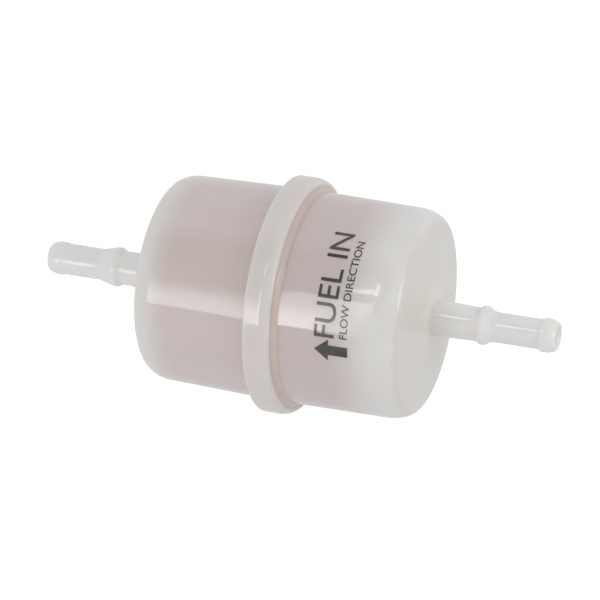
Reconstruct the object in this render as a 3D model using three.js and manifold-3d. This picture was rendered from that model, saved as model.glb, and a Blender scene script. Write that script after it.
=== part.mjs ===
// In-line fuel filter for a small engine: a two-piece nylon housing, welded in a band round its
// middle, with a hose barb on each end and a pleated paper element inside.
// Millimetres. The axis is X, the fuel flows from +X to -X, and the origin is on the axis at the
// middle of the band.
import * as THREE from 'three';
import { mergeVertices } from 'three/addons/utils/BufferGeometryUtils.js';
import Module from 'manifold-3d';

const wasm = await Module();
wasm.setup();

// ---------- driving dimensions ----------

const GAP = 0.3; // clearance between pieces that touch
const HOUSING_STEPS = 36; // facets round the housing
const INNER_STEPS = 24; // facets round the pieces inside it
const CORNER_STEPS = 5; // facets along a moulded corner

const WALL = 1.5;
const END_WALL = 1.9;
const BODY_RADIUS = 22.8; // outside, at the foot of the band
const BORE_RADIUS = 1.9;
const ROOT_FILLET = 0.6; // where a barb leaves its end wall

const BAND = { radius: 25.5, halfWidth: 2.8, edge: 0.3 };
// The band is the outlet half's socket, and its lip is tapered. The inlet half plugs into it.
const LIP = { taperStart: 0.8, taper: 0.2, roundLength: 0.9, roundDepth: 0.55 };
const SOCKET = { radius: 23.4, depth: 3.8 };

// Lengths along a barb, shared by both ends.
const BARB = {
  noseLength: 1.8, // from the tip to the full bead
  beadLength: 3.2, // from the tip to the bead's step
  beadStep: 0.7, // the step down from the bead to the shank
  crestLength: 0.8, // the ridge's top
  backLength: 1.0, // the fall from the ridge to the base
};

// Both halves are described outwards from the middle of the band: side is +1 for +X, -1 for -X.
// The ramp is the length of the rise from the barb's shank to its ridge.
const INLET = {
  side: 1, endFace: 29.4, draft: 0.016, cornerLength: 5.5, cornerDepth: 2.5, dome: 1.0,
  tip: 57.9, nose: 2.8, bead: 3.6, shank: 3.2, ridge: 4.15, ridgeFromTip: 16.0, ramp: 1.6, base: 3.6,
};
const OUTLET = {
  side: -1, endFace: 29.3, draft: 0.024, cornerLength: 4.5, cornerDepth: 3.0, dome: 1.0,
  tip: 56.9, nose: 2.8, bead: 3.6, shank: 3.4, ridge: 4.3, ridgeFromTip: 15.8, ramp: 3.4, base: 3.65,
};
const INLET_BOSS = { radius: 5.5, length: 3.4 }; // thick ring inside the inlet's end wall
const OUTLET_COLLAR = { inner: 5.6, outer: 7.0, length: 4.0 }; // takes the element's neck

const PAPER = {
  pleats: 40, thickness: 0.4, length: 41.2,
  foldRadius: 19.8, foldWidth: 1.2, // mid-thickness, at the outer folds
  rootRadius: 10.4, rootWidth: 0.7, // mid-thickness, at the inner folds
};
const SEAM = { thickness: 0.6, depth: 2.4, radius: 17.6, length: 40.6 };
const CAP = { radius: 20.5, rim: 0.5, disc: 1.5, pan: 1.3 };
const POTTING = { inner: 9.7, thickness: 1.0 };
const CORE = { outer: 9.4, inner: 8.4, columns: 6, rows: 4, windowLength: 7.6, windowWidth: 6.2, rowPitch: 9.8 };
const NECK = { outer: 4.0, bore: 2.8, length: 4.2 };
const SEAL = { radius: 4.8, section: 0.5, steps: 8 };
const RIBS = { count: 4, inner: 7.5, outer: 15.5, thickness: 1.2, length: 3.4 };
const BEAD = 0.7; // legs of the weld bead's section

// Where the element's parts start, measured outwards from the middle of the band.
const PAPER_END = PAPER.length / 2;
const POTTING_START = PAPER_END + GAP;
const PAN_FLOOR = POTTING_START + POTTING.thickness + GAP;
const CAP_BACK = PAN_FLOOR + CAP.disc;

const NYLON = { color: 0xe6e3dd, roughness: 0.32, metalness: 0 };
const WELD_NYLON = { color: 0xd9c3ae, roughness: 0.45, metalness: 0 };
const PINK_PAPER = { color: 0xd8a79e, roughness: 0.9, metalness: 0 };
const CAP_PLASTIC = { color: 0xe9e4d8, roughness: 0.5, metalness: 0 };
const ADHESIVE = { color: 0xdccfa4, roughness: 0.4, metalness: 0 };
const SEAL_RUBBER = { color: 0xcfc9bd, roughness: 0.7, metalness: 0 };

// ---------- shared shapes ----------

// A moulded corner from (x, r), running along the axis, to (x + length, r - depth), facing out.
function roundCorner(x, r, length, depth) {
  return Array.from({ length: CORNER_STEPS + 1 }, (_, i) => {
    const angle = (i / CORNER_STEPS) * (Math.PI / 2);
    return [x + length * Math.sin(angle), r - depth + depth * Math.cos(angle)];
  });
}

// Turns a closed outline of [distance from the band's middle, radius] about the axis.
function turned(outline, side, steps) {
  const loop = outline.map(([x, r]) => new THREE.Vector2(r, side * x));
  if (!THREE.ShapeUtils.isClockWise(loop)) loop.reverse();
  loop.push(loop[0].clone());
  return new THREE.LatheGeometry(loop.reverse(), steps).rotateZ(-Math.PI / 2);
}

// A ring of rectangular section from x0 to x1.
function ring(x0, x1, inner, outer, side, steps) {
  return turned([[x0, inner], [x0, outer], [x1, outer], [x1, inner]], side, steps);
}

function solid(geometry) {
  const bare = geometry.index ? geometry.clone() : geometry;
  bare.deleteAttribute('normal');
  bare.deleteAttribute('uv');
  const merged = mergeVertices(bare);
  const vertProperties = new Float32Array(merged.attributes.position.array);
  const triVerts = new Uint32Array(merged.index.array);
  return new wasm.Manifold(new wasm.Mesh({ numProp: 3, vertProperties, triVerts }));
}

function geometryOf(manifold) {
  const { vertProperties, triVerts } = manifold.getMesh();
  const geometry = new THREE.BufferGeometry();
  geometry.setAttribute('position', new THREE.BufferAttribute(new Float32Array(vertProperties), 3));
  geometry.setIndex(new THREE.BufferAttribute(new Uint32Array(triVerts), 1));
  geometry.computeVertexNormals();
  return geometry;
}

function piece(name, geometry, finish) {
  const mesh = new THREE.Mesh(geometry, new THREE.MeshStandardMaterial(finish));
  mesh.name = name;
  return mesh;
}

// ---------- housing ----------

// Outside of a half from the foot of the band to the barb's tip.
function outerOutline(half) {
  const cornerStart = half.endFace - half.cornerLength;
  const cornerRadius = BODY_RADIUS - half.draft * (cornerStart - BAND.halfWidth);
  const wallTop = half.endFace + half.dome;
  return [
    [BAND.halfWidth, BODY_RADIUS],
    ...roundCorner(cornerStart, cornerRadius, half.cornerLength, half.cornerDepth),
    [wallTop, half.base + ROOT_FILLET],
    [wallTop + ROOT_FILLET, half.base],
    ...barbOutline(half),
  ];
}

function barbOutline({ tip, nose, bead, shank, ridge, ridgeFromTip, ramp, base }) {
  const crest = tip - ridgeFromTip;
  const step = tip - BARB.beadLength;
  return [
    [crest - BARB.crestLength / 2 - BARB.backLength, base],
    [crest - BARB.crestLength / 2, ridge],
    [crest + BARB.crestLength / 2, ridge],
    [crest + BARB.crestLength / 2 + ramp, shank],
    [step - BARB.beadStep, shank],
    [step, bead],
    ...roundCorner(tip - BARB.noseLength, bead, BARB.noseLength, bead - nose),
  ];
}

// Inside of a half from the end wall back to the band, where throat is the shape round the bore.
function innerOutline(half, throat) {
  const cornerStart = half.endFace - half.cornerLength;
  const cornerRadius = BODY_RADIUS - WALL - half.draft * (cornerStart - BAND.halfWidth);
  const depth = half.cornerDepth - WALL / 2;
  const corner = roundCorner(cornerStart, cornerRadius, half.cornerLength - WALL, depth);
  return [[half.tip, BORE_RADIUS], ...throat, ...corner.reverse()];
}

function innerEnd(half) {
  return half.endFace + half.dome - END_WALL;
}

function inletHousing() {
  const end = innerEnd(INLET);
  const throat = [
    [end - INLET_BOSS.length, BORE_RADIUS],
    [end - INLET_BOSS.length, INLET_BOSS.radius],
    [end, INLET_BOSS.radius],
  ];
  const plugStart = BAND.halfWidth + GAP - SOCKET.depth;
  const plug = [
    [plugStart, BODY_RADIUS - WALL],
    [plugStart, SOCKET.radius - GAP],
    [BAND.halfWidth, SOCKET.radius - GAP],
  ];
  return turned([...plug, ...outerOutline(INLET), ...innerOutline(INLET, throat)], INLET.side, HOUSING_STEPS);
}

function outletHousing() {
  const end = innerEnd(OUTLET);
  const throat = [
    [end, BORE_RADIUS],
    [end, OUTLET_COLLAR.inner],
    [end - OUTLET_COLLAR.length, OUTLET_COLLAR.inner],
    [end - OUTLET_COLLAR.length, OUTLET_COLLAR.outer],
    [end - GAP / 2, OUTLET_COLLAR.outer],
  ];
  const socketFloor = SOCKET.depth - BAND.halfWidth;
  const taperRadius = BAND.radius - LIP.taper;
  const socket = [
    [socketFloor, BODY_RADIUS - WALL],
    [socketFloor, SOCKET.radius],
    [-BAND.halfWidth, SOCKET.radius],
    [-BAND.halfWidth, taperRadius - LIP.roundDepth],
    [LIP.roundLength - BAND.halfWidth, taperRadius],
    [-LIP.taperStart, BAND.radius],
    [BAND.halfWidth - BAND.edge, BAND.radius],
    [BAND.halfWidth, BAND.radius - BAND.edge],
  ];
  return turned([...socket, ...outerOutline(OUTLET), ...innerOutline(OUTLET, throat)], OUTLET.side, HOUSING_STEPS);
}

// A triangular bead in the corner between the band's lip and the inlet half's body.
function weldBead() {
  const x = BAND.halfWidth + GAP;
  const r = BODY_RADIUS + GAP;
  return turned([[x, r], [x, r + BEAD], [x + BEAD, r]], INLET.side, HOUSING_STEPS);
}

// ---------- paper element ----------

function polar(radius, angle) {
  return new THREE.Vector2(radius * Math.cos(angle), radius * Math.sin(angle));
}

// Mid-thickness line of the pleats, with a flat at each fold.
function pleatLine() {
  const pitch = (2 * Math.PI) / PAPER.pleats;
  const fold = PAPER.foldWidth / PAPER.foldRadius / 2;
  const root = PAPER.rootWidth / PAPER.rootRadius / 2;
  return Array.from({ length: PAPER.pleats }, (_, i) => [
    polar(PAPER.foldRadius, i * pitch - fold),
    polar(PAPER.foldRadius, i * pitch + fold),
    polar(PAPER.rootRadius, (i + 0.5) * pitch - root),
    polar(PAPER.rootRadius, (i + 0.5) * pitch + root),
  ]).flat();
}

// Moves each side of a counter-clockwise loop outwards by a distance, keeping the corners mitred.
function offsetLoop(points, distance) {
  const outward = points.map((point, i) => {
    const side = points[(i + 1) % points.length].clone().sub(point).normalize();
    return new THREE.Vector2(side.y, -side.x);
  });
  return points.map((point, i) => {
    const before = outward.at(i - 1);
    const after = outward[i];
    const mitre = before.clone().add(after).divideScalar(1 + before.dot(after));
    return point.clone().addScaledVector(mitre, distance);
  });
}

function pleatedPaper() {
  const line = pleatLine();
  const shape = new THREE.Shape(offsetLoop(line, PAPER.thickness / 2));
  shape.holes.push(new THREE.Path(offsetLoop(line, -PAPER.thickness / 2)));
  const extruded = new THREE.ExtrudeGeometry(shape, { depth: PAPER.length, bevelEnabled: false });
  return extruded.translate(0, 0, -PAPER.length / 2).rotateY(Math.PI / 2);
}

// Lies in one valley between two outer folds.
function seamGlue() {
  const angle = Math.PI / PAPER.pleats;
  const bead = new THREE.BoxGeometry(SEAM.depth, SEAM.thickness, SEAM.length);
  return bead.translate(SEAM.radius, 0, 0).rotateZ(angle).rotateY(Math.PI / 2);
}

function potting(side) {
  const end = POTTING_START + POTTING.thickness;
  return ring(POTTING_START, end, POTTING.inner, CAP.radius - CAP.rim - GAP, side, INNER_STEPS);
}

// Outline of a cap's pan: a disc with a rim that reaches back over the potting.
function panOutline(hole) {
  const rimStart = PAN_FLOOR - CAP.pan;
  return [
    [PAN_FLOOR, hole],
    [PAN_FLOOR, CAP.radius - CAP.rim],
    [rimStart, CAP.radius - CAP.rim],
    [rimStart, CAP.radius],
    [CAP_BACK, CAP.radius],
  ];
}

function inletEndCap() {
  const disc = solid(turned([...panOutline(0), [CAP_BACK, 0]], INLET.side, INNER_STEPS));
  const radial = RIBS.outer - RIBS.inner;
  const length = RIBS.length + CAP.disc / 2;
  const ribs = Array.from({ length: RIBS.count }, (_, i) => {
    const rib = new THREE.BoxGeometry(length, radial, RIBS.thickness);
    rib.translate(CAP_BACK + RIBS.length - length / 2, RIBS.inner + radial / 2, 0);
    return solid(rib.rotateX(((i + 0.5) / RIBS.count) * 2 * Math.PI));
  });
  return geometryOf(ribs.reduce((body, rib) => body.add(rib), disc));
}

function outletEndCap() {
  const neck = [
    [CAP_BACK, NECK.outer],
    [CAP_BACK + NECK.length, NECK.outer],
    [CAP_BACK + NECK.length, NECK.bore],
  ];
  return turned([...panOutline(NECK.bore), ...neck], OUTLET.side, INNER_STEPS);
}

function supportCore() {
  const halfLength = PAN_FLOOR - GAP;
  const tube = solid(ring(-halfLength, halfLength, CORE.inner, CORE.outer, INLET.side, INNER_STEPS));
  const windows = [];
  for (let row = 0; row < CORE.rows; row += 1) {
    const x = (row - (CORE.rows - 1) / 2) * CORE.rowPitch;
    for (let column = 0; column < CORE.columns; column += 1) {
      const cutter = new THREE.BoxGeometry(CORE.windowLength, CORE.outer, CORE.windowWidth);
      cutter.translate(x, CORE.outer, 0).rotateX((column / CORE.columns) * 2 * Math.PI);
      windows.push(solid(cutter));
    }
  }
  return geometryOf(windows.reduce((body, cutter) => body.subtract(cutter), tube));
}

// Round ring half-way along the neck.
function neckSeal() {
  const middle = CAP_BACK + NECK.length / 2;
  const section = Array.from({ length: SEAL.steps }, (_, i) => {
    const angle = ((i + 0.5) / SEAL.steps) * 2 * Math.PI;
    return [middle + SEAL.section * Math.cos(angle), SEAL.radius + SEAL.section * Math.sin(angle)];
  });
  return turned(section, OUTLET.side, INNER_STEPS);
}

// ---------- assembly ----------

const housing = new THREE.Group();
housing.add(
  piece('outlet_housing', outletHousing(), NYLON),
  piece('inlet_housing', inletHousing(), NYLON),
  piece('weld_bead', weldBead(), WELD_NYLON),
);

const element = new THREE.Group();
element.add(
  piece('pleated_paper', pleatedPaper(), PINK_PAPER),
  piece('seam_glue', seamGlue(), ADHESIVE),
  piece('inlet_end_cap', inletEndCap(), CAP_PLASTIC),
  piece('outlet_end_cap', outletEndCap(), CAP_PLASTIC),
  piece('inlet_potting', potting(INLET.side), ADHESIVE),
  piece('outlet_potting', potting(OUTLET.side), ADHESIVE),
  piece('support_core', supportCore(), CAP_PLASTIC),
  piece('neck_seal', neckSeal(), SEAL_RUBBER),
);

const filter = new THREE.Group();
filter.add(housing, element);

export default filter;
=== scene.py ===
"""Looks of the in-line fuel filter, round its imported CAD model: fine turned housing halves, the
pleated element inside them, the print and the studio. Lengths are millimetres until a mesh is made."""
import math

import bmesh
import bpy
from mathutils import Matrix, Vector, noise


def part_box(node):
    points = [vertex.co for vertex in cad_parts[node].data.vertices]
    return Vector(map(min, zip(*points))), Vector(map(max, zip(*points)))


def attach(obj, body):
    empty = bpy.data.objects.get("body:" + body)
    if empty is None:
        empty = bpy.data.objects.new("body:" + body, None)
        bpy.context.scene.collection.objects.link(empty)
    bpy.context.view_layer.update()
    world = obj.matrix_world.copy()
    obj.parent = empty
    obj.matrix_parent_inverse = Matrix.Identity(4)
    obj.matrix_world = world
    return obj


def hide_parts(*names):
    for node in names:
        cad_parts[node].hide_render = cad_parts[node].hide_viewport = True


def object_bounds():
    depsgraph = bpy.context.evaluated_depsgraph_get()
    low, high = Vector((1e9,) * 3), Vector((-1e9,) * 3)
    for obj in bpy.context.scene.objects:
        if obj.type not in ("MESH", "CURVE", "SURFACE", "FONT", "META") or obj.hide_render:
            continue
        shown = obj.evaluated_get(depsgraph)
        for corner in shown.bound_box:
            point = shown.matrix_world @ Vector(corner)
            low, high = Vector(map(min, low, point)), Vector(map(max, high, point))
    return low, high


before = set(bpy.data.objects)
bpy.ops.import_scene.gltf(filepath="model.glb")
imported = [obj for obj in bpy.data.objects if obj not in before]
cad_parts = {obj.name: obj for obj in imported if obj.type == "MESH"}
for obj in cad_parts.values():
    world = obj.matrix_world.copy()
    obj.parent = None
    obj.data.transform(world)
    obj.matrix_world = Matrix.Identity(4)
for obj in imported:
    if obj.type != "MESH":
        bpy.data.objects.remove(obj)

CAD_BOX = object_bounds()
MM = 0.001

# ---------- sizes ----------


def reach(node):
    """A node's lowest and highest x and its radius, in millimetres."""
    low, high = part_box(node)
    return low.x / MM, high.x / MM, high.z / MM


OUTLET_TIP, BAND_HALF, BAND_RADIUS = reach("outlet_housing")
PLUG_END, INLET_TIP, _ = reach("inlet_housing")
_, PAPER_END, PAPER_RADIUS = reach("pleated_paper")
CAP_RIM, RIB_END, CAP_RADIUS = reach("inlet_end_cap")
NECK_END = -reach("outlet_end_cap")[0]
POTTING_START, POTTING_END, POTTING_RADIUS = reach("inlet_potting")
_, CORE_END, CORE_RADIUS = reach("support_core")
SEAL_START, SEAL_END, SEAL_RADIUS = (abs(v) for v in reach("neck_seal"))

GAP = 0.3  # between two pieces that touch
WALL = 1.5
END_WALL = 1.9
BODY_RADIUS = 22.8  # outside, at the foot of the band
BORE_RADIUS = 1.9
SOCKET_RADIUS = 23.4

# Both halves are described outwards from the middle of the band: side is +1 for +X, -1 for -X.
INLET = dict(
    side=1, end_face=29.4, draft=0.016, corner_length=5.5, corner_depth=2.5, dome=1.0,
    tip=INLET_TIP, nose=2.8, bead=3.6, shank=3.2, ridge=4.15, ridge_from_tip=16.0,
    ramp=1.6, base=3.6,
)
OUTLET = dict(
    side=-1, end_face=29.3, draft=0.024, corner_length=4.5, corner_depth=3.0, dome=1.0,
    tip=-OUTLET_TIP, nose=2.8, bead=3.6, shank=3.4, ridge=4.3, ridge_from_tip=15.8,
    ramp=3.4, base=3.65,
)

# Shared by both barbs. The first five are distances back from the tip.
BARB = dict(
    chamfer_from_tip=0.5, nose_from_tip=1.8, bead_from_tip=3.2, shank_from_tip=3.9, mouth_from_tip=0.9,
    chamfer_depth=0.4, rim_width=0.35, half_crest=0.4, back_length=1.0,
)
BOSS = dict(radius=5.5, length=3.4)  # thick ring inside the inlet's end wall
COLLAR = dict(inner=5.6, outer=7.0, length=4.0)  # takes the element's neck
LIP = dict(taper_start=0.8, taper=0.2, round_length=0.9, round_depth=0.55)  # the band's inlet side
WELD = dict(fillet=1.2, bury=0.15, proud=0.004, waver=0.0004)

PLEATS = dict(
    count=40, thickness=0.4, fold_inset=0.6, root_radius=10.9,
    fold_half_width=0.42, root_half_width=0.30, bulge=0.4,
)
CAP_BACK = POTTING_END + GAP + 1.5  # outer face of both end caps
NECK = dict(outer=4.0, bore=2.8)
RIBS = dict(count=4, inner=7.5, outer=15.5, thickness=1.2, root=0.5)
CORE = dict(wall=1.0, rows=4, columns=6, pitch=9.8, window=(7.6, 6.0, 6.2))
SEAL = dict(node_section=0.5, section=0.48)  # radii of the ring's section, in the CAD and here
SEAM = dict(half_depth=1.1, half_width=0.26, end_swell=0.35, unevenness=0.1, waves=20)

# The print: foot is the distance of a mark's lowest line from the band's middle, and angle is the
# angle of its left edge above the level of the axis. Each line of words also has a width, a height
# and a weight that thickens its strokes.
PRINT = dict(
    arrow=dict(length=7.2, head_length=3.0, head_width=4.75, shaft_width=2.2),
    arrow_foot=19.35,
    arrow_angle=math.radians(0.5),
    lines=[
        dict(name="inlet_words", words="FUEL IN", width=23.2, height=4.4, weight=0.004,
             foot=16.4, angle=math.radians(7.5)),
        dict(name="flow_words", words="FLOW DIRECTION", width=21.4, height=1.65, weight=0.006,
             foot=19.1, angle=math.radians(7.8)),
    ],
    film=0.03,
    bury=0.02,
)

ROUND = 160  # steps round the housing
INNER_ROUND = 80  # steps round the pieces inside it
ARC_STEP = math.radians(8)
SMOOTH_ANGLE = math.radians(35)
CORNER_SHARE = 0.48  # the most of a straight that the rounding of one corner may take
STRAIGHT, HOLD = 1.0, 0.15  # the shortest straight that is held flat, and how far from its ends


# ---------- meshes ----------


def arc_points(centre, spoke, turn):
    """Points on a circle about centre, from centre + spoke through the angle turn."""
    steps = max(2, math.ceil(abs(turn) / ARC_STEP))
    return [centre + Matrix.Rotation(turn * k / steps, 2) @ spoke for k in range(steps + 1)]


def rounded(outline):
    """A closed outline of (x, r) or (x, r, corner radius) with its corners rounded."""
    points = []
    for i, (x, r, *radius) in enumerate(outline):
        corner = Vector((x, r))
        back = Vector(outline[i - 1][:2]) - corner
        ahead = Vector(outline[(i + 1) % len(outline)][:2]) - corner
        turn = math.pi - back.angle(ahead)
        if not radius or turn < ARC_STEP / 2:
            points.append(corner)
            continue
        cut = min(radius[0] * math.tan(turn / 2), CORNER_SHARE * min(back.length, ahead.length))
        bend = cut / math.tan(turn / 2)
        middle = (back.normalized() + ahead.normalized()).normalized()
        centre = corner + middle * (bend / math.cos(turn / 2))
        start = corner + back.normalized() * cut
        sense = math.copysign(turn, back.y * ahead.x - back.x * ahead.y)
        points += arc_points(centre, start - centre, sense)
    return held(points)


def held(points):
    """The same closed outline with long straights kept flat in shading by a point near each end."""
    made = []
    for i, point in enumerate(points):
        ahead = points[(i + 1) % len(points)] - point
        made.append(point)
        if ahead.length > STRAIGHT:
            step = ahead.normalized() * HOLD
            made += [point + step, point + ahead - step]
    return made


def mesh_object(name, bm):
    """Turns a bmesh in millimetres into an object in metres, with its faces pointing out."""
    bmesh.ops.scale(bm, vec=(MM, MM, MM), verts=bm.verts)
    bmesh.ops.recalc_face_normals(bm, faces=bm.faces)
    mesh = bpy.data.meshes.new(name)
    bm.to_mesh(mesh)
    bm.free()
    for polygon in mesh.polygons:
        polygon.use_smooth = True
    mesh.set_sharp_from_angle(angle=SMOOTH_ANGLE)
    made = bpy.data.objects.new(name, mesh)
    bpy.context.scene.collection.objects.link(made)
    return made


def turned_bmesh(outline, side=1, steps=ROUND, waver=None):
    """A closed outline of (distance from the band, radius) turned about X; waver scales the radius."""
    bm = bmesh.new()
    rings = []
    for k in range(steps):
        angle = 2 * math.pi * k / steps
        grow = waver(angle) if waver else 1.0
        across, up = grow * math.cos(angle), grow * math.sin(angle)
        rings.append([bm.verts.new((side * x, r * across, r * up)) for x, r in outline])
    for k, ring in enumerate(rings):
        other = rings[(k + 1) % steps]
        for i in range(len(ring)):
            j = (i + 1) % len(ring)
            bm.faces.new((ring[i], ring[j], other[j], other[i]))
    bmesh.ops.remove_doubles(bm, verts=bm.verts, dist=1e-5)
    bmesh.ops.dissolve_degenerate(bm, edges=bm.edges, dist=1e-6)
    return bm


def piece(made, replaced, material):
    """Puts a finished piece on the frame in place of a CAD node."""
    made.data.materials.append(material)
    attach(made, "root")
    if replaced:
        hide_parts(replaced)
    return made


# ---------- housing ----------


def body_corner(half, inset=0.0):
    """The moulded corner between a half's side and its end face, moved inwards by inset."""
    start = half["end_face"] - half["corner_length"]
    radius = BODY_RADIUS - half["draft"] * (start - BAND_HALF) - inset
    length = half["corner_length"] - inset
    depth = half["corner_depth"] - inset / 2
    steps = 14
    points = []
    for k in range(steps + 1):
        angle = k / steps * math.pi / 2
        points.append((start + length * math.sin(angle), radius - depth * (1 - math.cos(angle))))
    return points


def barb(half):
    """A barb, from its base to its tip and into the mouth of its bore."""
    tip, ridge, shank, bead, nose = (half[key] for key in ("tip", "ridge", "shank", "bead", "nose"))
    crest = tip - half["ridge_from_tip"]
    fall, rise = crest - BARB["half_crest"], crest + BARB["half_crest"]
    return [
        (fall - BARB["back_length"], half["base"], 0.5),
        (fall, ridge, 0.35),
        (rise, ridge, 0.6),
        (rise + half["ramp"], shank, 4.0),
        (tip - BARB["shank_from_tip"], shank, 0.5),
        (tip - BARB["bead_from_tip"], bead, 0.3),
        (tip - BARB["nose_from_tip"], bead, 2.0),
        (tip - BARB["chamfer_from_tip"], bead - BARB["chamfer_depth"], 0.8),
        (tip, nose, 0.25),
        (tip, nose - BARB["rim_width"], 0.1),
        (tip - BARB["mouth_from_tip"], BORE_RADIUS, 0.4),
    ]


def outside(half):
    """Outside of a half, from the foot of the band to the barb's tip."""
    wall_top = half["end_face"] + half["dome"]
    return [
        (BAND_HALF, BODY_RADIUS, 0.35),
        *body_corner(half),
        (wall_top, half["base"] + 0.3, 1.1),
        *barb(half),
    ]


def inner_end(half):
    """Inner face of a half's end wall."""
    return half["end_face"] + half["dome"] - END_WALL


def inlet_half(material):
    """The half that plugs into the band."""
    end = inner_end(INLET)
    boss = [
        (end - BOSS["length"], BORE_RADIUS, 0.2),
        (end - BOSS["length"], BOSS["radius"], 0.4),
        (end, BOSS["radius"], 0.6),
    ]
    plug_radius = SOCKET_RADIUS - 0.05
    plug = [
        (PLUG_END, BODY_RADIUS - WALL, 0.15),
        (PLUG_END, plug_radius, 0.15),
        (BAND_HALF, plug_radius),
    ]
    inside = list(reversed(body_corner(INLET, WALL)))
    outline = rounded([*plug, *outside(INLET), *boss, *inside])
    made = mesh_object("inlet_half", turned_bmesh(outline, INLET["side"]))
    return piece(made, "inlet_housing", material)


def outlet_half(material):
    """The half that carries the band."""
    end = inner_end(OUTLET)
    collar = [
        (end, BORE_RADIUS, 0.2),
        (end, COLLAR["inner"], 0.3),
        (end - COLLAR["length"], COLLAR["inner"], 0.3),
        (end - COLLAR["length"], COLLAR["outer"], 0.3),
        (end - GAP / 2, COLLAR["outer"], 0.6),
    ]
    floor = GAP - PLUG_END
    taper_radius = BAND_RADIUS - LIP["taper"]
    socket = [
        (floor, BODY_RADIUS - WALL, 0.15),
        (floor, SOCKET_RADIUS, 0.1),
        (-BAND_HALF, SOCKET_RADIUS),
        (-BAND_HALF, taper_radius - LIP["round_depth"], 0.8),
        (LIP["round_length"] - BAND_HALF, taper_radius, 1.5),
        (-LIP["taper_start"], BAND_RADIUS, 3.0),
        (BAND_HALF, BAND_RADIUS, 0.3),
    ]
    inside = list(reversed(body_corner(OUTLET, WALL)))
    outline = rounded([*socket, *outside(OUTLET), *collar, *inside])
    made = mesh_object("outlet_half", turned_bmesh(outline, OUTLET["side"]))
    return piece(made, "outlet_housing", material)


def weld_flash(material):
    """The fillet of re-melted nylon at the foot of the band."""
    fillet, bury = WELD["fillet"], WELD["bury"]
    centre = Vector((BAND_HALF + fillet, BODY_RADIUS + fillet))
    curve = arc_points(centre, Vector((-fillet, 0)), math.pi / 2)
    outline = [
        *((point.x, point.y + WELD["proud"]) for point in curve),
        (centre.x, BODY_RADIUS - bury),
        (BAND_HALF - bury, BODY_RADIUS - bury),
        (BAND_HALF - bury, centre.y),
    ]

    def waver(angle):
        spot = Vector((4 * math.cos(angle), 4 * math.sin(angle), 0.0))
        return 1 + WELD["waver"] * noise.noise(spot)

    made = mesh_object("weld_flash", turned_bmesh(outline, INLET["side"], waver=waver))
    return piece(made, "weld_bead", material)


# ---------- element ----------


def pleats(material):
    """The paper, folded into a star with round folds."""
    fold_radius = PAPER_RADIUS - PLEATS["fold_inset"]
    pitch = 2 * math.pi / PLEATS["count"]
    bulge = PLEATS["bulge"]
    steps = 6
    line = []
    for i in range(PLEATS["count"]):
        for radius, centre, half_width, out in (
            (fold_radius, i * pitch, PLEATS["fold_half_width"], bulge),
            (PLEATS["root_radius"], (i + 0.5) * pitch, PLEATS["root_half_width"], -bulge),
        ):
            for k in range(steps + 1):
                swing = math.pi * (k / steps - 0.5)
                across = half_width * math.sin(swing) / radius
                line.append((radius + out * math.cos(swing), centre + across))
    loop = [Vector((r * math.cos(a), r * math.sin(a))) for r, a in line]
    bm = bmesh.new()
    lengthways = 24
    rows = []
    for side in (1, -1):
        for j in range(lengthways + 1):
            x = PAPER_END * (2 * j / lengthways - 1)
            row = []
            for i, point in enumerate(loop):
                back = (point - loop[i - 1]).normalized()
                ahead = (loop[(i + 1) % len(loop)] - point).normalized()
                normal = Vector((back.y + ahead.y, -back.x - ahead.x)).normalized()
                spot = point + normal * side * PLEATS["thickness"] / 2
                row.append(bm.verts.new((x, spot.x, spot.y)))
            rows.append(row)
    outer, inner = rows[: lengthways + 1], rows[lengthways + 1:]
    n = len(loop)
    for sheet in (outer, inner):
        for a, b in zip(sheet, sheet[1:]):
            for i in range(n):
                bm.faces.new((a[i], a[(i + 1) % n], b[(i + 1) % n], b[i]))
    for a, b in ((outer[0], inner[0]), (outer[-1], inner[-1])):
        for i in range(n):
            bm.faces.new((a[i], a[(i + 1) % n], b[(i + 1) % n], b[i]))
    return piece(mesh_object("paper_pleats", bm), "pleated_paper", material)


def cap_pan(hole=0.0):
    """A cap's disc and the rim that reaches back over the adhesive, from its floor to its back."""
    floor = POTTING_END + GAP
    inner = POTTING_RADIUS + GAP
    return [
        (floor, hole, 0.2 if hole else 0),
        (floor, inner, 0.15),
        (CAP_RIM, inner, 0.15),
        (CAP_RIM, CAP_RADIUS, 0.2),
        (CAP_BACK, CAP_RADIUS, 0.5),
    ]


def block(centre, size, turn):
    """A closed block with rounded edges, given round the axis by the angle turn."""
    bm = bmesh.new()
    bmesh.ops.create_cube(bm, size=1.0)
    bmesh.ops.scale(bm, vec=size, verts=bm.verts)
    bmesh.ops.bevel(bm, geom=bm.edges, offset=min(size) * 0.3, segments=3, affect="EDGES")
    bmesh.ops.translate(bm, vec=centre, verts=bm.verts)
    bmesh.ops.rotate(bm, matrix=Matrix.Rotation(turn, 3, "X"), verts=bm.verts)
    return bm


def gathered(parts):
    """Several closed meshes as one."""
    whole = bmesh.new()
    for part in parts:
        mesh = bpy.data.meshes.new("part")
        part.to_mesh(mesh)
        part.free()
        whole.from_mesh(mesh)
        bpy.data.meshes.remove(mesh)
    return whole


def combined(made, tool, operation):
    """Joins or cuts a finished object with another, which is used up."""
    modifier = made.modifiers.new("combine", "BOOLEAN")
    modifier.operation = operation
    modifier.solver = "EXACT"
    modifier.object = tool
    bpy.context.view_layer.update()
    seen = made.evaluated_get(bpy.context.evaluated_depsgraph_get())
    mesh = bpy.data.meshes.new_from_object(seen)
    made.modifiers.clear()
    made.data = mesh
    mesh.set_sharp_from_angle(angle=SMOOTH_ANGLE)
    bpy.data.objects.remove(tool)
    return made


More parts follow.
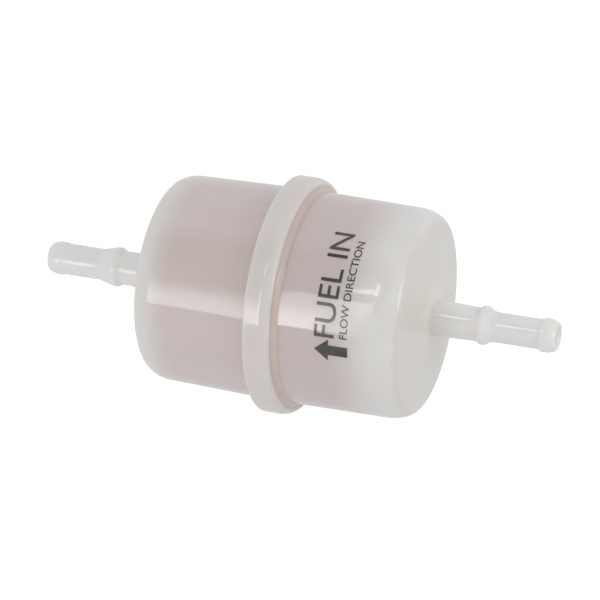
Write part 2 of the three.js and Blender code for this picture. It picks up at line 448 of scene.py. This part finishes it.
def inlet_cap(material):
    """The closed cap, with the ribs that hold it off the inlet's end wall."""
    disc = rounded([*cap_pan(), (CAP_BACK, 0.0)])
    made = mesh_object("closed_cap", turned_bmesh(disc, INLET["side"], INNER_ROUND))
    length = RIB_END - CAP_BACK + RIBS["root"]
    centre = (RIB_END - length / 2, (RIBS["inner"] + RIBS["outer"]) / 2, 0)
    size = (length, RIBS["outer"] - RIBS["inner"], RIBS["thickness"])
    pitch = 2 * math.pi / RIBS["count"]
    ribs = gathered([block(centre, size, (i + 0.5) * pitch) for i in range(RIBS["count"])])
    combined(made, mesh_object("ribs", ribs), "UNION")
    return piece(made, "inlet_end_cap", material)


def outlet_cap(material):
    """The open cap and its neck."""
    neck = [
        (CAP_BACK, NECK["outer"], 0.5),
        (NECK_END, NECK["outer"], 0.3),
        (NECK_END, NECK["bore"], 0.2),
    ]
    outline = rounded([*cap_pan(NECK["bore"]), *neck])
    made = mesh_object("open_cap", turned_bmesh(outline, OUTLET["side"], INNER_ROUND))
    return piece(made, "outlet_end_cap", material)


def potting(name, replaced, side, material):
    """Cured adhesive, drawn up a little against the cap's rim and round the core."""
    inner = CORE_RADIUS + GAP
    creep, slope = 0.25, 1.2
    outline = rounded([
        (POTTING_END, inner, 0.1),
        (POTTING_START, inner, 0.1),
        (POTTING_START + creep, inner + slope, 1.5),
        (POTTING_START + creep, POTTING_RADIUS - slope, 1.5),
        (POTTING_START, POTTING_RADIUS, 0.1),
        (POTTING_END, POTTING_RADIUS, 0.1),
    ])
    made = mesh_object(name, turned_bmesh(outline, side, INNER_ROUND))
    return piece(made, replaced, material)


def core(material):
    """The tube inside the pleats, with rows of rounded windows."""
    inner = CORE_RADIUS - CORE["wall"]
    tube = rounded([
        (-CORE_END, inner, 0.2),
        (-CORE_END, CORE_RADIUS, 0.2),
        (CORE_END, CORE_RADIUS, 0.2),
        (CORE_END, inner, 0.2),
    ])
    made = mesh_object("core_tube", turned_bmesh(tube, steps=96))
    windows = []
    for row in range(CORE["rows"]):
        centre = ((row - (CORE["rows"] - 1) / 2) * CORE["pitch"], CORE_RADIUS, 0)
        for column in range(CORE["columns"]):
            windows.append(block(centre, CORE["window"], column / CORE["columns"] * 2 * math.pi))
    combined(made, mesh_object("windows", gathered(windows)), "DIFFERENCE")
    return piece(made, "support_core", material)


def seal(material):
    """The round ring half-way along the open cap's neck."""
    centre = Vector(((SEAL_START + SEAL_END) / 2, SEAL_RADIUS - SEAL["node_section"]))
    circle = arc_points(centre, Vector((SEAL["section"], 0)), 2 * math.pi)[:-1]
    made = mesh_object("neck_ring", turned_bmesh(circle, OUTLET["side"], INNER_ROUND))
    return piece(made, "neck_seal", material)


def seam(material):
    """A run of adhesive between two pleats, uneven along its length."""
    low, high = (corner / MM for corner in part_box("seam_glue"))
    middle, half = (low + high) / 2, (high.x - low.x) / 2
    outward = Vector((0, middle.y, middle.z)).normalized()
    across = Vector((1, 0, 0)).cross(outward)
    deep, wide = SEAM["half_depth"], SEAM["half_width"]
    lengthways, around = 60, 16
    rings = []
    bm = bmesh.new()
    for i in range(lengthways + 1):
        along = -1 + 2 * i / lengthways
        taper = math.sqrt(1 - abs(along) ** 24) if abs(along) < 1 else SEAM["end_swell"]
        waver = noise.noise(Vector((SEAM["waves"] * along, 3, 7)))
        swell = taper * (1 + SEAM["unevenness"] * waver)
        ring = []
        for k in range(around):
            angle = 2 * math.pi * k / around
            offset = outward * deep * math.cos(angle) + across * wide * math.sin(angle)
            ring.append(bm.verts.new(middle + Vector((along * half, 0, 0)) + offset * swell))
        rings.append(ring)
    for ring, other in zip(rings, rings[1:]):
        for k in range(around):
            j = (k + 1) % around
            bm.faces.new((ring[k], ring[j], other[j], other[k]))
    bm.faces.new(rings[0])
    bm.faces.new(rings[-1])
    return piece(mesh_object("seam_bead", bm), "seam_glue", material)


# ---------- print ----------


def arrow_shape():
    """An arrow that points up, with its foot on zero, as a flat mesh."""
    arrow = PRINT["arrow"]
    length, head, shaft = arrow["length"], arrow["head_width"] / 2, arrow["shaft_width"] / 2
    neck = length - arrow["head_length"]
    corners = [
        (-shaft, 0), (shaft, 0), (shaft, neck), (head, neck), (0, length), (-head, neck), (-shaft, neck)
    ]
    bm = bmesh.new()
    bm.faces.new([bm.verts.new((x, y, 0)) for x, y in corners])
    return bm


def lettering(words, width, height, weight):
    """A line of plain capitals as a flat mesh, from (0, 0) to (width, height)."""
    curve = bpy.data.curves.new("words", "FONT")
    curve.body = words
    curve.resolution_u = 6
    curve.offset = weight
    text = bpy.data.objects.new("words", curve)
    bpy.context.scene.collection.objects.link(text)
    bpy.context.view_layer.update()
    mesh = bpy.data.meshes.new_from_object(text)
    bpy.data.objects.remove(text)
    bm = bmesh.new()
    bm.from_mesh(mesh)
    bpy.data.meshes.remove(mesh)
    bmesh.ops.remove_doubles(bm, verts=bm.verts, dist=1e-3)
    low = [min(v.co[i] for v in bm.verts) for i in (0, 1)]
    high = [max(v.co[i] for v in bm.verts) for i in (0, 1)]
    bmesh.ops.translate(bm, vec=(-low[0], -low[1], 0), verts=bm.verts)
    stretch = (width / (high[0] - low[0]), height / (high[1] - low[1]), 1)
    bmesh.ops.scale(bm, vec=stretch, verts=bm.verts)
    return bm


def printed(name, bm, foot, start, material):
    """Wraps a flat mesh round the inlet half as a film of ink.

    Its up is towards the band and its right is up the side of the body. It is first cut into narrow
    strips, so that it bends, and foot and start place its lowest line and its left edge.
    """
    left = min(v.co.x for v in bm.verts)
    right = max(v.co.x for v in bm.verts)
    step = 0.6
    for k in range(1, math.ceil((right - left) / step)):
        geometry = bm.verts[:] + bm.edges[:] + bm.faces[:]
        cut = (left + k * step, 0, 0)
        bmesh.ops.bisect_plane(bm, geom=geometry, plane_co=cut, plane_no=(1, 0, 0))
    bmesh.ops.remove_doubles(bm, verts=bm.verts, dist=2e-3)
    bmesh.ops.dissolve_degenerate(bm, edges=bm.edges, dist=1e-4)
    under = set(bm.verts)
    bmesh.ops.extrude_face_region(bm, geom=bm.faces[:])
    for v in bm.verts:
        across, x = v.co.x, foot - v.co.y
        skin = BODY_RADIUS - INLET["draft"] * (x - BAND_HALF)
        angle = start + across / skin
        radius = skin + (-PRINT["bury"] if v in under else PRINT["film"])
        v.co = (x, -radius * math.cos(angle), radius * math.sin(angle))
    return piece(mesh_object(name, bm), None, material)


def prints(material):
    printed("flow_arrow", arrow_shape(), PRINT["arrow_foot"], PRINT["arrow_angle"], material)
    for line in PRINT["lines"]:
        words = lettering(line["words"], line["width"], line["height"], line["weight"])
        printed(line["name"], words, line["foot"], line["angle"], material)


# ---------- materials ----------

# Tints of the milky nylon, by place. The weld tint also holds painted shade at the band's foot, the end tint
# is painted shade on the inlet's end face, and the barb and bore tints are painted light.
OUTLET_TINT = (0.80, 0.765, 0.735)
BAND_TINT = (0.805, 0.764, 0.734)
INLET_BLUSH = (0.703, 0.615, 0.598)
WELD_TINT_AND_CORNER_SHADE = (0.72, 0.60, 0.545)
END_FACE_PAINTED_SHADE = (0.79, 0.76, 0.71)
BOSS_TINT = (0.92, 0.875, 0.765)
BARB_PAINTED_LIGHT = (0.955, 0.933, 0.902)
BORE_PAINTED_LIGHT = (0.99, 0.985, 0.98)


def new_material(name):
    material = bpy.data.materials.new(name)
    material.use_nodes = True
    tree = material.node_tree
    return material, tree, tree.nodes["Principled BSDF"]


def noise_node(tree, scale, detail=3.0, stretch=(1, 1, 1)):
    coordinates = tree.nodes.new("ShaderNodeTexCoord")
    mapping = tree.nodes.new("ShaderNodeMapping")
    mapping.inputs["Scale"].default_value = stretch
    made = tree.nodes.new("ShaderNodeTexNoise")
    made.inputs["Scale"].default_value = scale
    made.inputs["Detail"].default_value = detail
    tree.links.new(coordinates.outputs["Object"], mapping.inputs["Vector"])
    tree.links.new(mapping.outputs["Vector"], made.inputs["Vector"])
    return made


def ramp(tree, source, stops):
    made = tree.nodes.new("ShaderNodeValToRGB")
    elements = made.color_ramp.elements
    elements[0].position, elements[0].color = stops[0][0], (*stops[0][1], 1)
    elements[1].position, elements[1].color = stops[-1][0], (*stops[-1][1], 1)
    for position, colour in stops[1:-1]:
        elements.new(position).color = (*colour, 1)
    tree.links.new(source, made.inputs["Fac"])
    return made.outputs["Color"]


def bump(tree, shader, height, strength, distance):
    made = tree.nodes.new("ShaderNodeBump")
    made.inputs["Strength"].default_value = strength
    made.inputs["Distance"].default_value = distance
    tree.links.new(height, made.inputs["Height"])
    tree.links.new(made.outputs["Normal"], shader.inputs["Normal"])
    return made


def math_node(tree, operation, first, second=None):
    made = tree.nodes.new("ShaderNodeMath")
    made.operation = operation
    for socket, value in zip(made.inputs, (first, second)):
        if isinstance(value, (int, float)):
            socket.default_value = value
        elif value is not None:
            tree.links.new(value, socket)
    return made.outputs["Value"]


def smooth_range(tree, value, start, end, low=0.0, high=1.0):
    """Low up to start, high from end, with a smooth step between."""
    made = tree.nodes.new("ShaderNodeMapRange")
    made.interpolation_type = "SMOOTHSTEP"
    tree.links.new(value, made.inputs["Value"])
    made.inputs["From Min"].default_value = start
    made.inputs["From Max"].default_value = end
    made.inputs["To Min"].default_value = low
    made.inputs["To Max"].default_value = high
    return made.outputs["Result"]


def mix_colour(tree, factor, first, second):
    made = tree.nodes.new("ShaderNodeMix")
    made.data_type = "RGBA"
    tree.links.new(factor, made.inputs["Factor"])
    for socket, value in zip((made.inputs[6], made.inputs[7]), (first, second)):
        if isinstance(value, tuple):
            socket.default_value = (*value, 1)
        else:
            tree.links.new(value, socket)
    return made.outputs[2]


def axis_and_radius(tree, wander):
    """Distances along and from the filter's axis, in metres, made uneven by a slow noise."""
    coordinates = tree.nodes.new("ShaderNodeTexCoord")
    split = tree.nodes.new("ShaderNodeSeparateXYZ")
    tree.links.new(coordinates.outputs["Object"], split.inputs["Vector"])
    drift = noise_node(tree, scale=70, detail=2.0)
    shift = math_node(tree, "MULTIPLY_ADD", drift.outputs["Fac"], wander)
    shift.node.inputs[2].default_value = -wander / 2
    along = math_node(tree, "ADD", split.outputs["X"], shift)
    squares = [math_node(tree, "POWER", split.outputs[axis], 2.0) for axis in ("Y", "Z")]
    radius = math_node(tree, "SQRT", math_node(tree, "ADD", *squares))
    return along, radius


def milky(shader, clarity):
    """The finish that both nylons share: a glossy skin over a cloudy body."""
    shader.inputs["Roughness"].default_value = 0.45
    shader.inputs["IOR"].default_value = 1.5
    shader.inputs["Specular IOR Level"].default_value = 0.0
    shader.inputs["Transmission Weight"].default_value = clarity
    shader.inputs["Subsurface Weight"].default_value = 0.5
    shader.inputs["Subsurface Radius"].default_value = (1.0, 0.9, 0.8)
    shader.inputs["Subsurface Scale"].default_value = 0.002
    shader.inputs["Coat Weight"].default_value = 1.0
    shader.inputs["Coat Roughness"].default_value = 0.06
    shader.inputs["Coat IOR"].default_value = 1.5


def product(tree, first, *others):
    for other in others:
        first = math_node(tree, "MULTIPLY", first, other)
    return first


def nylon():
    """Milky nylon, rosier where the paper lies close behind it and yellower round the inlet's boss. Its
    colour also holds painted shade at the band's foot and on the inlet's end face, and painted light on the
    barbs and in their bores.
    """
    material, tree, shader = new_material("milky_nylon")
    cloud = noise_node(tree, scale=110, detail=3.0)
    clear = ramp(tree, cloud.outputs["Fac"], [(0.3, (0.87, 0.842, 0.805)), (0.7, (0.90, 0.88, 0.85))])
    streaks = noise_node(tree, scale=300, detail=3.0, stretch=(0.1, 1, 1))
    rosy = [(0.3, (0.725, 0.625, 0.605)), (0.7, (0.745, 0.655, 0.635))]
    along, radius = axis_and_radius(tree, wander=0.003)
    from_middle = math_node(tree, "ABSOLUTE", along)

    def tinted(colour, tint, *fades):
        """Lays a tint over a colour. A fade goes from low at start to high at end, in millimetres."""
        factors = [
            smooth_range(tree, value, start * MM, end * MM, low, high)
            for value, start, end, low, high in fades
        ]
        return mix_colour(tree, product(tree, *factors), colour, tint)

    blush = ramp(tree, streaks.outputs["Fac"], rosy)
    blush = tinted(blush, INLET_BLUSH, (along, 0, 3, 0, 1))
    colour = tinted(
        clear, OUTLET_TINT, (along, -29, -23, 0.35, 1), (along, -10, 0, 1, 0), (radius, 4, 12, 0, 1)
    )
    colour = tinted(colour, BAND_TINT, (along, 2.4, 3.4, 1, 0), (radius, 22.9, 23.6, 0, 1))
    colour = tinted(
        colour, blush, (along, -27, -20.5, 0, 1), (along, 14, 25.5, 1, 0), (radius, 22.9, 23.6, 1, 0.12)
    )
    # Tan of the weld at the band's foot, darkened as painted shade of the concave corner there.
    colour = tinted(
        colour, WELD_TINT_AND_CORNER_SHADE, (along, 3.8, 5.8, 0.6, 0), (along, 2.4, 3, 0, 1), (radius, 23.2, 24.2, 1, 0)
    )
    # Painted shade: the inlet's end face is darker than the nylon round it.
    colour = tinted(colour, END_FACE_PAINTED_SHADE, (along, 28, 29.5, 0, 1), (radius, 3.4, 6, 0, 1))
    colour = tinted(
        colour, BOSS_TINT, (along, 28.5, 30, 0, 1), (along, 30.5, 35, 1, 0), (radius, 3.8, 10.5, 0.6, 0)
    )
    # Painted light: the barbs are lighter than the same nylon elsewhere.
    colour = tinted(colour, BARB_PAINTED_LIGHT, (radius, 4.6, 5.6, 1, 0), (from_middle, 30.5, 33, 0, 1))
    # Painted light: the bores are lightened against the shade inside them.
    colour = tinted(colour, BORE_PAINTED_LIGHT, (radius, 2.1, 2.5, 1, 0))
    tree.links.new(colour, shader.inputs["Base Color"])
    milky(shader, clarity=0.12)
    return material


def weld():
    """Nylon scorched by the weld, cloudier than the rest, and darkened as painted shade of the concave
    corner at the band's foot.
    """
    material, tree, shader = new_material("weld_nylon")
    cloud = noise_node(tree, scale=300, detail=2.0)
    # Scorched tan of the weld, darkened further as painted shade of the concave corner it fills.
    scorched_and_shaded = [(0.3, (0.605, 0.505, 0.458)), (0.7, (0.635, 0.53, 0.483))]
    colour = ramp(tree, cloud.outputs["Fac"], scorched_and_shaded)
    tree.links.new(colour, shader.inputs["Base Color"])
    milky(shader, clarity=0.0)
    shader.inputs["Subsurface Weight"].default_value = 0.0
    return material


def paper():
    material, tree, shader = new_material("filter_paper")
    fibres = noise_node(tree, scale=900, detail=6.0, stretch=(0.4, 1, 1))
    colour = ramp(tree, fibres.outputs["Fac"], [(0.3, (0.72, 0.42, 0.36)), (0.7, (0.80, 0.52, 0.46))])
    tree.links.new(colour, shader.inputs["Base Color"])
    shader.inputs["Roughness"].default_value = 0.9
    bump(tree, shader, fibres.outputs["Fac"], strength=0.4, distance=0.0001)
    return material


def cap_plastic():
    material, tree, shader = new_material("cap_plastic")
    cloud = noise_node(tree, scale=150, detail=3.0)
    colour = ramp(tree, cloud.outputs["Fac"], [(0.3, (0.78, 0.74, 0.66)), (0.7, (0.84, 0.81, 0.74))])
    tree.links.new(colour, shader.inputs["Base Color"])
    shader.inputs["Roughness"].default_value = 0.45
    grain = noise_node(tree, scale=2500, detail=2.0)
    bump(tree, shader, grain.outputs["Fac"], strength=0.2, distance=0.00004)
    return material


def adhesive():
    material, tree, shader = new_material("adhesive")
    cloud = noise_node(tree, scale=200, detail=3.0)
    colour = ramp(tree, cloud.outputs["Fac"], [(0.3, (0.70, 0.60, 0.36)), (0.7, (0.80, 0.72, 0.50))])
    tree.links.new(colour, shader.inputs["Base Color"])
    shader.inputs["Roughness"].default_value = 0.3
    bump(tree, shader, noise_node(tree, scale=500, detail=2.0).outputs["Fac"], strength=0.4, distance=0.0001)
    return material


def seal_rubber():
    material, tree, shader = new_material("seal_rubber")
    grain = noise_node(tree, scale=1800, detail=4.0)
    colour = ramp(tree, grain.outputs["Fac"], [(0.3, (0.55, 0.51, 0.45)), (0.7, (0.66, 0.62, 0.56))])
    tree.links.new(colour, shader.inputs["Base Color"])
    shader.inputs["Roughness"].default_value = 0.7
    bump(tree, shader, grain.outputs["Fac"], strength=0.3, distance=0.00005)
    return material


def ink():
    """Charcoal pad-printing ink, a little thinner in places."""
    material, tree, shader = new_material("print_ink")
    patches = noise_node(tree, scale=900, detail=4.0)
    charcoal = [(0.3, (0.030, 0.028, 0.027)), (0.75, (0.060, 0.056, 0.053))]
    colour = ramp(tree, patches.outputs["Fac"], charcoal)
    tree.links.new(colour, shader.inputs["Base Color"])
    shader.inputs["Roughness"].default_value = 0.35
    shader.inputs["Coat Weight"].default_value = 0.6
    shader.inputs["Coat Roughness"].default_value = 0.12
    return material


# ---------- studio ----------

AZIMUTH = math.radians(20.18)
ELEVATION = math.radians(25.82)
DISTANCE = 0.6868
LENS = 193.3
SENSOR = 36
AIM = (0.71, -1.01)  # where the camera looks, right of and above the origin, in millimetres

SKY_BELOW = 0.74
SKY_ABOVE = 0.83
DIM = dict(towards=(-0.27, -0.62, 0.74), outer=0.80, inner=0.96, factor=0.15)  # patch of the sky

# Lights, in metres. The front softbox is four sheets on one foot, so it is brightest at the bottom.
FRONT = dict(x=-0.108, y=-0.26, turn=0.09, width=0.104, heights=(0.055, 0.075, 0.095, 0.115), radiance=0.88)
SOFTBOXES = dict(
    centre_softbox=dict(
        place=(-0.062, -0.265, 0.065), target=(0, 0, 0.065), size=(0.03, 0.18), radiance=3.2
    ),
    upper_softbox=dict(
        place=(-0.0495, -0.25, 0.255), target=(0.045, 0, 0), size=(0.032, 0.08), radiance=5.0
    ),
    side_softbox=dict(
        place=(0.304, -0.079, 0.115), target=(0.029, -0.016, 0.012), size=(0.1, 0.14), radiance=3.2
    ),
)


def view_axes():
    """The camera's right, up and back."""
    a, e = AZIMUTH, ELEVATION
    back = Vector((math.sin(a) * math.cos(e), -math.cos(a) * math.cos(e), math.sin(e)))
    right = Vector((math.cos(a), math.sin(a), 0))
    return right, back.cross(right), back


def camera():
    right, up, back = view_axes()
    data = bpy.data.cameras.new("camera")
    data.lens = LENS
    data.sensor_width = SENSOR
    data.clip_start = 0.01
    made = bpy.data.objects.new("camera", data)
    made.matrix_world = Matrix((right, up, back)).transposed().to_4x4()
    made.location = back * DISTANCE + (right * AIM[0] + up * AIM[1]) * MM
    bpy.context.scene.collection.objects.link(made)
    bpy.context.scene.camera = made


def softbox(name, place, target, size, radiance):
    """A rectangular light; radiance is set against the sky's."""
    data = bpy.data.lights.new(name, "AREA")
    data.shape = "RECTANGLE"
    data.size, data.size_y = size
    data.energy = math.pi * size[0] * size[1] * radiance
    made = bpy.data.objects.new(name, data)
    made.location = place
    made.rotation_euler = (Vector(target) - Vector(place)).to_track_quat("-Z", "Y").to_euler()
    bpy.context.scene.collection.objects.link(made)
    return made


def front_softbox():
    """A low light in front of the outlet half, brightest along its lower edge."""
    for k, height in enumerate(FRONT["heights"]):
        place = (FRONT["x"], FRONT["y"] - k * MM, CAD_BOX[0].z + height / 2)
        target = (FRONT["x"] + FRONT["turn"], 0, place[2])
        softbox(f"front_softbox_{k}", place, target, (FRONT["width"], height), FRONT["radiance"])


def sky():
    """An even white surround, brighter overhead, with a dim patch above the front softbox."""
    world = bpy.data.worlds.new("studio")
    world.use_nodes = True
    tree = world.node_tree
    background = tree.nodes["Background"]
    background.inputs["Color"].default_value = (1, 1, 1, 1)
    coordinates = tree.nodes.new("ShaderNodeTexCoord")
    split = tree.nodes.new("ShaderNodeSeparateXYZ")
    tree.links.new(coordinates.outputs["Generated"], split.inputs["Vector"])
    overhead = smooth_range(tree, split.outputs["Z"], -0.2, 0.9, SKY_BELOW, SKY_ABOVE)
    towards = tree.nodes.new("ShaderNodeVectorMath")
    towards.operation = "DOT_PRODUCT"
    tree.links.new(coordinates.outputs["Generated"], towards.inputs[0])
    towards.inputs[1].default_value = Vector(DIM["towards"]).normalized()
    dim = smooth_range(tree, towards.outputs["Value"], DIM["outer"], DIM["inner"], 1.0, DIM["factor"])
    strength = math_node(tree, "MULTIPLY", overhead, dim)
    tree.links.new(strength, background.inputs["Strength"])
    bpy.context.scene.world = world


def floor():
    """A pale floor that glows enough to stay free of shadows."""
    bpy.ops.mesh.primitive_plane_add(size=6, location=(0, 0, CAD_BOX[0].z))
    made = bpy.context.object
    made.name = "floor"
    material, tree, shader = new_material("floor")
    shader.inputs["Base Color"].default_value = (0.3, 0.3, 0.3, 1)
    shader.inputs["Roughness"].default_value = 1.0
    shader.inputs["Specular IOR Level"].default_value = 0.0
    shader.inputs["Emission Color"].default_value = (1, 1, 1, 1)
    shader.inputs["Emission Strength"].default_value = 0.9
    made.data.materials.append(material)
    made.visible_diffuse = made.visible_glossy = made.visible_transmission = False


def studio():
    sky()
    floor()
    bpy.context.scene.view_settings.view_transform = "Standard"
    front_softbox()
    for name, light in SOFTBOXES.items():
        softbox(name, **light)


# ---------- build ----------

housing = nylon()
inlet_half(housing)
outlet_half(housing)
weld_flash(weld())
pleats(paper())
moulded, glue = cap_plastic(), adhesive()
inlet_cap(moulded)
outlet_cap(moulded)
core(moulded)
potting("closed_cap_adhesive", "inlet_potting", INLET["side"], glue)
potting("open_cap_adhesive", "outlet_potting", OUTLET["side"], glue)
seam(glue)
seal(seal_rubber())
prints(ink())
camera()
studio()
